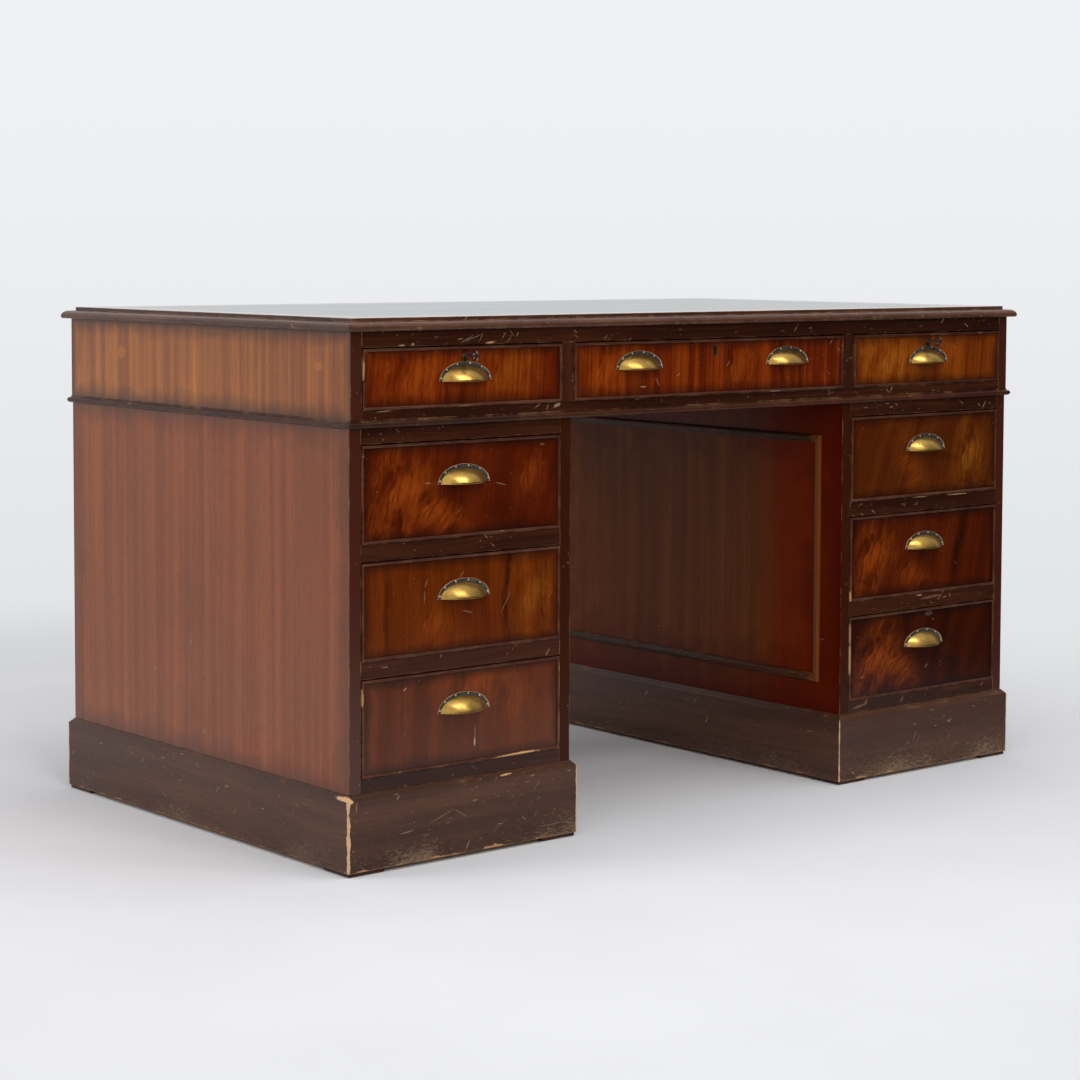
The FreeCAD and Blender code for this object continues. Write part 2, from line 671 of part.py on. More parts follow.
def corner_places(half_x, half_y):
    """Signs and places of the four corners of the right pedestal."""
    places = []
    for sign_x in (-1, 1):
        for sign_y in (-1, 1):
            places.append((sign_x, sign_y, PEDESTAL_CENTRE + sign_x * half_x, sign_y * half_y))
    return places


def plinth():
    """Mitred boards and corner blocks of the right plinth."""
    width = PEDESTAL_WIDTH + 2 * PLINTH_PROJECTION
    depth = PEDESTAL_REAR - PEDESTAL_FACE + 2 * PLINTH_PROJECTION
    boards = moved(mitred_frame(width, depth, plinth_section()), PEDESTAL_CENTRE, 0, GLIDE_HEIGHT)
    blocks = []
    for sign_x, sign_y, x, y in corner_places(width / 2 - PLINTH_BOARD, depth / 2 - PLINTH_BOARD):
        face = outline((x, y), (x - sign_x * CORNER_BLOCK, y), (x, y - sign_y * CORNER_BLOCK))
        face.translate(Vector(0, 0, GLIDE_HEIGHT))
        blocks.append(face.extrude(Vector(0, 0, PLINTH_HEIGHT - CORNER_BLOCK_DROP)))
    return boards + blocks


def glides():
    """Square pads under the corners of the right plinth, with their lower edges eased."""
    half_x = PEDESTAL_WIDTH / 2 + PLINTH_PROJECTION - GLIDE_INSET - GLIDE_SIZE / 2
    half_y = PEDESTAL_REAR + PLINTH_PROJECTION - GLIDE_INSET - GLIDE_SIZE / 2
    half = GLIDE_SIZE / 2
    pads = []
    for _, _, x, y in corner_places(half_x, half_y):
        pad = box(x - half, x + half, y - half, y + half, 0, GLIDE_HEIGHT)
        lower = [edge for edge in pad.Edges if edge.BoundBox.ZMax < GLIDE_HEIGHT / 2]
        pads.append(pad.makeChamfer(GLIDE_CHAMFER, lower).Solids[0])
    return pads


def panel_section():
    """Panel moulding: a rounded outer edge, a crest and a hollow down to the panel."""
    crest_end = (PANEL_CREST + PANEL_LAND, PANEL_PROUD)
    hollow_end = (PANEL_STRIP - PANEL_LAND, PANEL_FOOT)
    return outline(
        (0, 0),
        (PANEL_STRIP, 0),
        (PANEL_STRIP, PANEL_FOOT),
        hollow_end,
        *rounded(hollow_end, (crest_end[0], hollow_end[1]), crest_end),
        (PANEL_CREST, PANEL_PROUD),
        *rounded((PANEL_CREST, PANEL_PROUD), (0, PANEL_PROUD), (0, PANEL_FOOT)),
    )


def panel_mouldings():
    """Mitred moulding on the kneehole side of the right pedestal."""
    depth = PEDESTAL_REAR - PEDESTAL_FACE - 2 * PANEL_SIDE_MARGIN
    low = PEDESTAL_FLOOR + PANEL_BOTTOM_MARGIN
    high = PEDESTAL_TOP - PANEL_TOP_MARGIN
    strips = mitred_frame(depth, high - low, panel_section())
    for strip in strips:
        strip.rotate(ORIGIN, X_AXIS, 90)
        strip.rotate(ORIGIN, Z_AXIS, -90)
        strip.translate(Vector(KNEEHOLE_HALF, 0, (low + high) / 2))
    return strips


def carcass(nodes):
    """Everything that stands still."""
    lipping, core, leather = desk_top()
    nodes["top_edge_moulding"] = lipping
    nodes["top_board"] = core
    nodes["leather_inset"] = leather
    nodes["waist_moulding"] = waist_moulding()
    ends, rails, dividers, frieze_back = frieze()
    nodes["frieze_ends"] = ends
    nodes["frieze_rails"] = rails
    nodes["frieze_dividers"] = dividers
    outer, inner, pedestal_rails, boards, pedestal_back = pedestal()
    nodes["pedestal_outer_sides"] = mirrored([outer])
    nodes["pedestal_inner_sides"] = mirrored([inner])
    nodes["pedestal_rails"] = mirrored(pedestal_rails)
    nodes["pedestal_boards"] = mirrored(boards)
    nodes["back_panels"] = mirrored([pedestal_back]) + [frieze_back]
    nodes["panel_mouldings"] = mirrored(panel_mouldings())
    nodes["plinth_boards"] = mirrored(plinth())
    nodes["plinth_glides"] = mirrored(glides())
    nodes["drawer_runners"] = runners()


def drawers(nodes):
    """Frieze drawers with their locks, then the pedestal drawers from the bottom up."""
    pull = cup_pull()
    sides = (("left", -BAY_CENTRE), ("right", BAY_CENTRE))
    row = (FRIEZE_FACE, FRIEZE_OPENING_FLOOR)
    pieces = drawer(BAY_WIDTH, FRIEZE_OPENING, True)
    pulls = moved([pull], 0, 0, KEY_LEVEL - FRIEZE_OPENING_FLOOR - PULL_BELOW_KEY - PULL_HEIGHT)
    for side, x in sides:
        add_drawer(nodes, side + "_frieze_drawer", pieces, x, *row, pulls)
        add_lock(nodes, side + "_frieze", x, True)
    reach = DIVIDER_INNER - CENTRE_PULL_INSET
    rise = FRIEZE_OPENING / 2 + CENTRE_PULL_RISE
    pulls = moved([pull], -reach, 0, rise) + moved([pull], reach, 0, rise)
    pieces = drawer(2 * DIVIDER_INNER, FRIEZE_OPENING, True)
    add_drawer(nodes, "centre_frieze_drawer", pieces, 0, *row, pulls)
    add_lock(nodes, "centre_frieze", 0, False)

    pieces = drawer(BAY_WIDTH, PEDESTAL_OPENING, False)
    pulls = moved([pull], 0, 0, PEDESTAL_OPENING / 2 + PEDESTAL_PULL_RISE)
    for side, x in sides:
        for level, place in enumerate(PEDESTAL_LEVELS):
            name = f"{side}_pedestal_{place}_drawer"
            add_drawer(nodes, name, pieces, x, PEDESTAL_FACE, opening_floor(level), pulls)


def main():
    nodes = {}
    carcass(nodes)
    drawers(nodes)
    os.makedirs("parts", exist_ok=True)
    for name, solids in nodes.items():
        shape = solids[0] if len(solids) == 1 else Part.Compound(solids)
        shape.exportStep(f"parts/{name}.step")


main()
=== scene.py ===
import json
import math
import bpy
import bmesh
from mathutils import Matrix, Vector

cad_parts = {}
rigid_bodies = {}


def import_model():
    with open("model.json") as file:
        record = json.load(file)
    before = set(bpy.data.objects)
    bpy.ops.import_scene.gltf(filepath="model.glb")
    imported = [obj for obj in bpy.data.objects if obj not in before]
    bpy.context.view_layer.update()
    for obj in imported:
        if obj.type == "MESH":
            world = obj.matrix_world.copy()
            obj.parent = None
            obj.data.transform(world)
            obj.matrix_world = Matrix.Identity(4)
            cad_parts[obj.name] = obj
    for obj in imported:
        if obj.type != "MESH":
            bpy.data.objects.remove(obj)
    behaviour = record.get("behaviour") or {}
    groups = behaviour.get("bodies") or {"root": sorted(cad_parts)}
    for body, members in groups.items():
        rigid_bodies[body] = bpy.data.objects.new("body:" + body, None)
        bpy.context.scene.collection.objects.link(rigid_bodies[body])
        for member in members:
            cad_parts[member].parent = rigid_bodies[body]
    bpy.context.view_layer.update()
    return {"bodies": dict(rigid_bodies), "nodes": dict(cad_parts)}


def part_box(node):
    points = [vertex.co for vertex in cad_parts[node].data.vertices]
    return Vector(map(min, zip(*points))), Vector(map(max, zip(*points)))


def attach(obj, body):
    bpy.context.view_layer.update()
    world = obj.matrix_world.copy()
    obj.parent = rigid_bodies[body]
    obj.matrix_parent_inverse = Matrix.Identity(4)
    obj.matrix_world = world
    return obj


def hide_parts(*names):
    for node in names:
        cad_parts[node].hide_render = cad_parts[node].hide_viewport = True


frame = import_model()
nodes = frame["nodes"]
MM = 0.001


# Small helpers

def tint(code):
    """Linear colour from an sRGB hex value."""
    parts = [int(code[i:i + 2], 16) / 255 for i in (1, 3, 5)]
    linear = [c / 12.92 if c <= 0.04045 else ((c + 0.055) / 1.055) ** 2.4 for c in parts]
    return (*linear, 1.0)


def add(tree, kind, sockets=None, out=0, **settings):
    """Adds a node with settings and sockets (values or other nodes' outputs) and gives one output."""
    made = tree.nodes.new("ShaderNode" + kind)
    for name, value in settings.items():
        setattr(made, name, value)
    for name, value in (sockets or {}).items():
        if isinstance(value, bpy.types.NodeSocket):
            tree.links.new(value, made.inputs[name])
        else:
            made.inputs[name].default_value = value
    return made.outputs[out] if made.outputs else made


def calc(tree, operation, *values):
    return add(tree, "Math", dict(enumerate(values)), operation=operation)


def vector(tree, operation, *values, out=0):
    return add(tree, "VectorMath", dict(enumerate(values)), out, operation=operation)


def mix(tree, share, first, second):
    return add(tree, "MixRGB", {"Fac": share, "Color1": first, "Color2": second})


def ramp(tree, value, start, end, low=0.0, high=1.0, **settings):
    """Goes from low to high while the value goes from start to end."""
    sockets = {"Value": value, "From Min": start, "From Max": end, "To Min": low, "To Max": high}
    return add(tree, "MapRange", sockets, **settings)


def stretch(along, across_mm, along_mm):
    """Scale in cycles per metre for a grain that runs along one axis."""
    return tuple(1000.0 / (along_mm if axis == along else across_mm) for axis in "XYZ")


def noise(tree, point, size_mm, detail, rough=0.5, out=0):
    """Cloudy noise with cells of one size."""
    sockets = {"Vector": point, "Scale": 1000 / size_mm, "Detail": detail, "Roughness": rough}
    return add(tree, "TexNoise", sockets, out)


def streaks(tree, point, along, across_mm, along_mm, detail, rough=0.5, turn=0.0):
    """Noise drawn out along one axis, after a turn in the drawer face."""
    laid = {"Vector": point, "Rotation": (0.0, turn, 0.0), "Scale": stretch(along, across_mm, along_mm)}
    sockets = {"Vector": add(tree, "Mapping", laid), "Scale": 1.0, "Detail": detail, "Roughness": rough}
    return add(tree, "TexNoise", sockets)


def wander(tree, point, size_mm, reach_mm):
    """A point pushed about by slow noise, so that grain isn't ruled straight."""
    push = noise(tree, point, size_mm, 2.0, out="Color")
    push = vector(tree, "SUBTRACT", push, (0.5, 0.5, 0.5))
    push = add(tree, "VectorMath", {0: push, "Scale": reach_mm * MM}, operation="SCALE")
    return vector(tree, "ADD", point, push)


def edge_distance(tree, point, plane, centre, half):
    """Distances in metres to both pairs of edges of a flat board, from its middle and half sizes in mm."""
    parts = add(tree, "SeparateXYZ", {0: point}).node.outputs
    sides = []
    for axis, middle, reach in zip(plane, centre, half):
        size = calc(tree, "ABSOLUTE", calc(tree, "SUBTRACT", parts[axis], middle * MM))
        sides.append(calc(tree, "SUBTRACT", reach * MM, size))
    return sides


def nearest_edge(tree, *board):
    return calc(tree, "MINIMUM", *edge_distance(tree, *board))


def new_material(name):
    material = bpy.data.materials.new(name)
    material.use_nodes = True
    material.node_tree.nodes.clear()
    return material, material.node_tree


def finish_material(tree, sockets):
    surface = add(tree, "BsdfPrincipled", sockets, out="BSDF")
    add(tree, "OutputMaterial", {"Surface": surface})


# Wood

PORE = tint("#1C0A05")
TAN = tint("#B98A58")
PALE_SCRATCH = tint("#A58468")
SCUFF = tint("#A08264")
HEM = tint("#B08458")
BARE_CORNER = "#DBAE82"
BLACK_STAIN = "#150906"
RED_STAIN = "#4A0A00"

# Sizes of the grain in mm
SWAY_SIZE = 290
RIBBON_LENGTH = 900
LINE_WIDTH = 2.4
PORE_WIDTH = 1.3
PORE_LENGTH = 18
CLOUD_SIZE = 200

# Parts of the tone that come from ribbons, lines and clouds
RIBBON_PART = 0.50
LINE_PART = 0.30
CLOUD_PART = 0.20


def grain(tree, point, along, tones, ribbon_mm, contrast, sway=30, run=200):
    """Colour and height of straight-grained mahogany: ribbons, fine lines, pores and cloudy stain."""
    deep, middle, light = (tint(code) for code in tones)
    bent = wander(tree, point, SWAY_SIZE, sway)
    ribbons = streaks(tree, bent, along, ribbon_mm, RIBBON_LENGTH, 2.0)
    lines = streaks(tree, bent, along, LINE_WIDTH, run, 3.0)
    dashes = streaks(tree, bent, along, PORE_WIDTH, PORE_LENGTH, 1.0)
    pores = ramp(tree, dashes, 0.60, 0.72, high=0.4)
    clouds = noise(tree, point, CLOUD_SIZE, 2.0)
    tone = calc(tree, "MULTIPLY", ribbons, RIBBON_PART)
    tone = calc(tree, "MULTIPLY_ADD", lines, LINE_PART, tone)
    tone = calc(tree, "MULTIPLY_ADD", clouds, CLOUD_PART, tone)
    spread = 0.20 / contrast
    colour = mix(tree, ramp(tree, tone, 0.5 - spread, 0.5), deep, middle)
    colour = mix(tree, ramp(tree, tone, 0.49, 0.49 + spread), colour, light)
    return mix(tree, pores, colour, PORE), lines


# Scratches and specks: turn in the face, length and width of the cells in mm, share of cells marked, size
MARKS = (
    (0.9, 70, 9, 0.16, 0.13),
    (-0.6, 55, 8, 0.16, 0.13),
    (0.1, 45, 7, 0.12, 0.14),
    (0.0, 9, 9, 0.30, 0.13),
)


def marks(tree, point, colour, face, amount, share):
    """Pale scratches and specks in the polish, in clusters, drawn about 1 mm wide so that they show."""
    total = None
    along = "Y" if face == "X" else "X"
    loose = wander(tree, point, 40, 6)
    crowd = ramp(tree, noise(tree, point, 70, 1.0), 0.42, 0.62, 0.2, 2.2)
    for turn, long, wide, kept, size in MARKS:
        tilt = (turn, 0.0, 0.0) if face == "X" else (0.0, turn, 0.0)
        turned = add(tree, "Mapping", {"Vector": loose, "Location": (turn, turn, turn), "Rotation": tilt})
        cells = add(tree, "Mapping", {"Vector": turned, "Scale": stretch(along, wide, long)})
        far = add(tree, "TexVoronoi", {"Vector": cells, "Scale": 1.0})
        near = ramp(tree, far, size, size * 0.5)
        chance = add(tree, "SeparateColor", {0: far.node.outputs["Color"]})
        odds = calc(tree, "MULTIPLY", crowd, kept * share)
        mark = calc(tree, "MULTIPLY", near, calc(tree, "LESS_THAN", chance, odds))
        total = mark if total is None else calc(tree, "MAXIMUM", total, mark)
    faded = ramp(tree, noise(tree, point, 16.6667, 2.0), 0.4, 0.6, high=amount)
    return mix(tree, calc(tree, "MULTIPLY", total, faded), colour, PALE_SCRATCH)


# Planes in mm on which the chips lie, and how deep they reach on either side
FRONT_Y = -375.0
END_X = -685.0
MARK_DEPTH = 30.0


def strokes(tree, point, colour, places, face="Y"):
    """Chips and scratches at known places: middle, length and width in mm, turn in degrees and tone."""
    broken = noise(tree, point, 5, 2.0)
    for across, z, long, wide, turn, code in places:
        middle = Vector((across, FRONT_Y, z))
        size = Vector((long / 2, MARK_DEPTH, wide / 2))
        spin = (0.0, -math.radians(turn), 0.0)
        if face == "X":
            middle = Vector((END_X, across, z))
            size = Vector((MARK_DEPTH, long / 2, wide / 2))
            spin = (math.radians(turn), 0.0, 0.0)
        spot = {"Vector": point, "Location": middle * MM, "Rotation": spin, "Scale": size * MM}
        local = add(tree, "Mapping", spot, vector_type="TEXTURE")
        far = calc(tree, "MULTIPLY_ADD", broken, 0.9, vector(tree, "LENGTH", local, out="Value"))
        colour = mix(tree, ramp(tree, far, 1.45, 1.15), colour, tint(code))
    return colour


def worn_edges(tree, point, colour, amount, radius_mm):
    """Bare tan wood where edges are rubbed through, broken up along their length."""
    rounded = add(tree, "Bevel", {"Radius": radius_mm * MM}, samples=4)
    flat = add(tree, "NewGeometry", out="Normal")
    edge = ramp(tree, vector(tree, "DOT_PRODUCT", rounded, flat, out="Value"), 0.985, 0.90)
    least = 0.70 - 0.30 * amount
    rubbed = ramp(tree, noise(tree, point, 33.3333, 4.0, 0.65), least, least + 0.13)
    share = calc(tree, "MULTIPLY", edge, rubbed)
    return mix(tree, share, colour, TAN), share, rounded


def kicked_foot(tree, point, laid, facing, colour, foot, top):
    """Scuffs up to a height in mm and a ragged bare hem at the foot, weaker on the side faces."""
    height = add(tree, "SeparateXYZ", {0: point}, out="Z")
    aside = vector(tree, "DOT_PRODUCT", facing, (1.0, 0.0, 0.0), out="Value")
    patchy = ramp(tree, noise(tree, point, 111.111, 2.0), 0.35, 0.7, 0.16, 0.40)
    low = ramp(tree, height, top * MM, foot * MM, high=patchy)
    scuff = streaks(tree, wander(tree, laid, 25, 14), "X", 2, 11.1111, 5.0, 0.7, turn=0.7)
    most = ramp(tree, aside, 0.0, 1.0, 0.5, 0.2)
    scuff = ramp(tree, calc(tree, "ADD", scuff, low), 0.72, 0.88, high=most)
    colour = mix(tree, scuff, colour, SCUFF)
    ragged = ramp(tree, noise(tree, laid, 40, 5.0, 0.7), 0.5, 0.72, (foot + 0.5) * MM, (foot + 6.0) * MM)
    hem = calc(tree, "LESS_THAN", height, ragged)
    hem = calc(tree, "MULTIPLY", hem, ramp(tree, aside, 0.0, 1.0, 1.0, 0.4))
    return mix(tree, hem, colour, HEM)


def bare_corners(tree, point, colour, middle, half_x, half_y, reach):
    """Wood knocked bare at the upright corners of the two plinths, most at the front left; sizes in mm."""
    board = ((0, 1), (middle, 0), (half_x, half_y))
    far = calc(tree, "MAXIMUM", *edge_distance(tree, vector(tree, "ABSOLUTE", point), *board))
    level = vector(tree, "MULTIPLY", point, (1.0, 1.0, 0.0))
    worst = (-(middle + half_x) * MM, -half_y * MM, 0.0)
    away = vector(tree, "DISTANCE", level, worst, out="Value")
    most = ramp(tree, away, 20 * MM, 120 * MM, reach * MM, 0.4 * reach * MM)
    ragged = ramp(tree, noise(tree, point, 22.2222, 4.0, 0.65), 0.3, 0.7, 0.5 * MM, most)
    return mix(tree, calc(tree, "LESS_THAN", far, ragged), colour, tint(BARE_CORNER))


def polish(tree, colour, height, gloss, film, share=None, rounded=None):
    """French polish over wood: a smooth clear film, duller where it is rubbed, on slightly rounded edges."""
    surface = {"Height": height, "Strength": 0.06, "Distance": 0.5 * MM}
    rough = gloss
    if rounded:
        surface["Normal"] = rounded
    bump = add(tree, "Bump", surface)
    if share:
        rough = ramp(tree, share, 0.0, 1.0, gloss, 0.6)
    wood = {"Base Color": colour, "Roughness": rough, "Normal": bump}
    lacquer = {"IOR": 1.5, "Specular IOR Level": film}
    finish_material(tree, {**wood, **lacquer})


def mahogany(name, along, tones, ribbon_mm, contrast=1.0, gloss=0.25, film=0.3, face="Y", scratched=0.5,
             worn=0.5, rub_mm=1.6, border=None, turn_by=None, dark_front=None, fade=None, kicked=None,
             corners=None, chips=(), chip_face="Y", sway=30, run=200):
    """Polished mahogany board: straight grain, scratches, rubbed edges, stained borders and kicked feet."""
    material, tree = new_material(name)
    point = add(tree, "TexCoord", out="Object")
    laid = point
    facing = vector(tree, "ABSOLUTE", add(tree, "TexCoord", out="Normal"))
    if turn_by:
        swapped = add(tree, "Mapping", {"Vector": point, "Rotation": (0.0, 0.0, math.pi / 2)})
        if turn_by == "face":
            aside = vector(tree, "DOT_PRODUCT", facing, (1.0, 0.0, 0.0), out="Value")
            mask = calc(tree, "GREATER_THAN", aside, 0.5)
        else:
            mask = calc(tree, "LESS_THAN", *edge_distance(tree, point, (0, 1), (0, 0), turn_by))
        laid = mix(tree, mask, point, swapped)
    colour, lines = grain(tree, laid, along, tones, ribbon_mm, contrast, sway, run)
    # Towards the front the tone blends into another: redder on the kneehole sides, and lighter on the panel
    # mouldings, where it is painted highlight.
    if fade:
        start, end, stain_or_highlight, depth = fade
        back = add(tree, "SeparateXYZ", {0: point}, out="Y")
        colour = mix(tree, ramp(tree, back, start * MM, end * MM, high=depth), colour, tint(stain_or_highlight))
    if border:
        plane, centre, half, width, depth, stain_or_highlight = border
        least = nearest_edge(tree, point, plane, centre, half)
        ragged = calc(tree, "MULTIPLY", noise(tree, point, 45.4545, 3.0), width * MM)
        colour = mix(tree, ramp(tree, least, ragged, 0.0, high=depth), colour, tint(stain_or_highlight))
    if dark_front:
        ahead = vector(tree, "DOT_PRODUCT", facing, (0.0, 0.9, 0.0), out="Value")
        colour = mix(tree, ahead, colour, tint(dark_front))
    colour = marks(tree, laid, colour, face, 0.8, scratched)
    colour, share, rounded = worn_edges(tree, point, colour, worn, rub_mm)
    if kicked:
        colour = kicked_foot(tree, point, laid, facing, colour, *kicked)
    if corners:
        colour = bare_corners(tree, point, colour, *corners)
    colour = strokes(tree, point, colour, chips, chip_face)
    polish(tree, colour, lines, gloss, film, share, rounded)
    return material


# Flames narrower than this, in mm, stay whole lines; wider ones break up into blotches
THIN_FLAME = 20
FRONT_GLOSS = 0.2
FRONT_FILM = 0.25


def figured_front(name, node, tones, lean, ribbon_mm, contrast, flames, scars=()):
    """Figured mahogany veneer on a drawer front: leaning grain, broken flames and a dark stained border."""
    low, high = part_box(node)
    centre = (low + high) / 2
    half = (high - low) / 2
    material, tree = new_material(name)
    point = add(tree, "TexCoord", out="Object")
    away = vector(tree, "SUBTRACT", point, tuple(centre))
    leaned = {"Vector": away, "Location": tuple(centre * 3), "Rotation": (0.0, -math.radians(lean), 0.0)}
    colour, lines = grain(tree, add(tree, "Mapping", leaned), "Z", tones, ribbon_mm, contrast)
    for u, v, wide, tall, turn, code, strength in flames:
        local = vector(tree, "SUBTRACT", away, (u * half.x, 0.0, v * half.z))
        local = add(tree, "Mapping", {"Vector": local, "Rotation": (0.0, -math.radians(turn), 0.0)})
        waved = wander(tree, local, 70, 22)
        spot = vector(tree, "MULTIPLY", waved, (1000 / wide, 0.0, 1000 / tall))
        region = ramp(tree, vector(tree, "LENGTH", spot, out="Value"), 1.0, 0.25)
        streak = ramp(tree, streaks(tree, waved, "Z", 4, 24, 5.0, 0.65), 0.30, 0.64)
        if wide > THIN_FLAME:
            blotch = ramp(tree, streaks(tree, waved, "Z", 22, 42, 3.0), 0.38, 0.56)
            streak = calc(tree, "MULTIPLY", streak, blotch)
        share = calc(tree, "MULTIPLY", calc(tree, "MULTIPLY", region, streak), strength)
        colour = mix(tree, share, colour, tint(code))
    middle = (centre.x / MM, centre.z / MM)
    size = (half.x / MM, half.z / MM)
    least = nearest_edge(tree, point, (0, 2), middle, size)
    ragged = ramp(tree, noise(tree, point, 40, 3.0), 0.0, 1.0, 4 * MM, 34 * MM)
    colour = mix(tree, ramp(tree, least, ragged, 3 * MM, high=0.7), colour, tint(BLACK_STAIN))
    colour = marks(tree, point, colour, "Y", 0.5, 0.35)
    placed = [(middle[0] + u * size[0], middle[1] + v * size[1], *rest) for u, v, *rest in scars]
    colour = strokes(tree, point, colour, placed)
    polish(tree, colour, lines, FRONT_GLOSS, FRONT_FILM)
    return material


# Brass, steel, leather and drawer linings

def aged_brass(name, light, shade, rough):
    """Cast brass gone dull with handling: warm satin metal with brown patina in the hollows."""
    material, tree = new_material(name)
    point = add(tree, "TexCoord", out="Object")
    cloud = noise(tree, point, 16.6667, 4.0, 0.6)
    colour = mix(tree, ramp(tree, cloud, 0.4, 0.7), tint(light), tint(shade))
    spots = ramp(tree, noise(tree, point, 1.42857, 1.0), 0.68, 0.76, high=0.6)
    colour = mix(tree, spots, colour, tint("#4A3618"))
    sheen = ramp(tree, cloud, 0.0, 1.0, rough - 0.06, rough + 0.1)
    bump = add(tree, "Bump", {"Height": cloud, "Strength": 0.01, "Distance": 0.3 * MM})
    finish_material(tree, {"Base Color": colour, "Metallic": 1.0, "Roughness": sheen, "Normal": bump})
    return material


def dark_patina(name):
    """Brass left black-brown where polish and dirt collect between rim and bowl."""
    material, tree = new_material(name)
    point = add(tree, "TexCoord", out="Object")
    cloud = ramp(tree, noise(tree, point, 4.54545, 3.0), 0.45, 0.7)
    colour = mix(tree, cloud, tint("#3A3632"), tint("#625C54"))
    finish_material(tree, {"Base Color": colour, "Metallic": 0.2, "Roughness": 0.5})
    return material


def key_steel(name):
    """Old key steel: grey, a little blued, with copper-brown rust in patches."""
    material, tree = new_material(name)
    point = add(tree, "TexCoord", out="Object")
    rust = ramp(tree, noise(tree, point, 6.25, 3.0), 0.48, 0.62)
    colour = mix(tree, rust, tint("#8C8F98"), tint("#9A6A50"))
    finish_material(tree, {"Base Color": colour, "Metallic": 1.0, "Roughness": 0.3})
    return material


# Gilt lines on the leather: distance from its edge and half width in mm
GILT_LINES = ((22.0, 1.3), (28.0, 0.6))
PEBBLE_SIZE = 2.2


def desk_leather(name):
    """Dyed and polished hide: fine pebbled grain, worn paler in clouds, two gilt lines near the edge."""
    material, tree = new_material(name)
    low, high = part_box("leather_inset")
    half = (high - low) / 2
    point = add(tree, "TexCoord", out="Object")
    pebbles = add(tree, "TexVoronoi", {"Vector": point, "Scale": 1000 / PEBBLE_SIZE})
    cloud = noise(tree, point, 250, 4.0)
    colour = mix(tree, ramp(tree, cloud, 0.35, 0.7), tint("#1D3727"), tint("#2A4634"))
    least = nearest_edge(tree, point, (0, 1), (0, 0), (half.x / MM, half.y / MM))
    lines = [calc(tree, "COMPARE", least, far * MM, wide * MM) for far, wide in GILT_LINES]
    rubbed = ramp(tree, noise(tree, point, 22.2222, 3.0), 0.70, 0.58)
    gilt = calc(tree, "MULTIPLY", calc(tree, "MAXIMUM", *lines), rubbed)
    colour = mix(tree, gilt, colour, tint("#B08A3C"))
    bump = add(tree, "Bump", {"Height": pebbles, "Strength": 0.02, "Distance": 0.2 * MM})
    rough = ramp(tree, cloud, 0.0, 1.0, 0.16, 0.26)
    hide = {"Base Color": colour, "Roughness": rough, "Normal": bump, "IOR": 1.5, "Metallic": gilt}
    wax = {"Coat Weight": 0.5, "Coat Roughness": 0.1}
    finish_material(tree, {**hide, **wax})
    return material


def raw_lining(name, along):
    """Unpolished secondary wood inside: pale brown, dry and open-grained."""
    material, tree = new_material(name)
    point = add(tree, "TexCoord", out="Object")
    colour, lines = grain(tree, point, along, ("#6B4A2E", "#8A6440", "#A37C54"), 18, 1.0)
    bump = add(tree, "Bump", {"Height": lines, "Strength": 0.2, "Distance": 0.6 * MM})
    finish_material(tree, {"Base Color": colour, "Roughness": 0.65, "Normal": bump, "IOR": 1.45})
    return material


# Cup pulls that stand in for the faceted solids, in mm and degrees

BOWL_HALF = 41.0
BOWL_OUT = 21.0
BOWL_RISE = 21.5
BOWL_LIP_LEAN = 28.0
BOWL_TOP_LEAN = 62.0
BOWL_WALL = 1.5
FLANGE_HALF = 46.0
FLANGE_HIGH = 27.0
FLANGE_THICK = 1.6
FLANGE_LAP = 1.0
RIM_PROFILE = ((0.0, 0.0), (0.0, 1.2), (0.2, 1.7), (0.5, 1.9), (0.85, 1.7), (1.05, 1.0))
NAIL_ANGLES = (170, 140, 110, 80, 50, 12)
NAIL_INSET = 2.6
NAIL_RADIUS = 1.5
NAIL_DOME = 0.9

# Steps round the bowl and up it, round its lip, and round and up a nail head
ROUND = 40
BOWL_STEPS = 14
LIP_STEPS = 4
NAIL_ROUND = 12
NAIL_STEPS = 4

# Material slots of a pull
CAST, RECESS, NAIL, RIM = range(4)


def mesh_object(name, build):
    shape = bmesh.new()
    build(shape)
    bmesh.ops.recalc_face_normals(shape, faces=shape.faces)
    mesh = bpy.data.meshes.new(name)
    shape.to_mesh(mesh)
    shape.free()
    for face in mesh.polygons:
        face.use_smooth = True
    made = bpy.data.objects.new(name, mesh)
    bpy.context.scene.collection.objects.link(made)
    return made


def patch(shape, rows, slot):
    """Quads between rows of points."""
    made = [[shape.verts.new(point) for point in row] for row in rows]
    for first, second in zip(made, made[1:]):
        for i in range(len(first) - 1):
            face = shape.faces.new((first[i], first[i + 1], second[i + 1], second[i]))
            face.material_index = slot


def bowl_point(turn, lift, half, out, rise):
    """Point of the bowl: turn runs from end to end, lift from 0 at the lip to 1 at the flange."""
    first = math.radians(BOWL_LIP_LEAN)
    last = math.radians(BOWL_TOP_LEAN)
    lean = first + (last - first) * lift
    near = (math.cos(lean) - math.cos(last)) / (math.cos(first) - math.cos(last))
    high = (math.sin(lean) - math.sin(first)) / (math.sin(last) - math.sin(first))
    aside = half * math.cos(turn)
    sweep = (half * half + out * out) / (2 * out)
    ahead = math.sqrt(sweep * sweep - aside * aside) - (sweep - out)
    return Vector((-aside, -ahead * near, rise * math.sin(turn) * high))


def nail_head(shape, middle):
    """Low dome that stands out from the flange."""
    rings = []
    for k in range(NAIL_STEPS + 1):
        lift = math.pi / 2 * k / NAIL_STEPS
        flat = NAIL_RADIUS * math.cos(lift)
        out = NAIL_RADIUS * NAIL_DOME * math.sin(lift)
        turns = [2 * math.pi * i / NAIL_ROUND for i in range(NAIL_ROUND + 1)]
        rings.append([middle + Vector((flat * math.cos(b), -out, flat * math.sin(b))) * MM for b in turns])
    patch(shape, rings, NAIL)


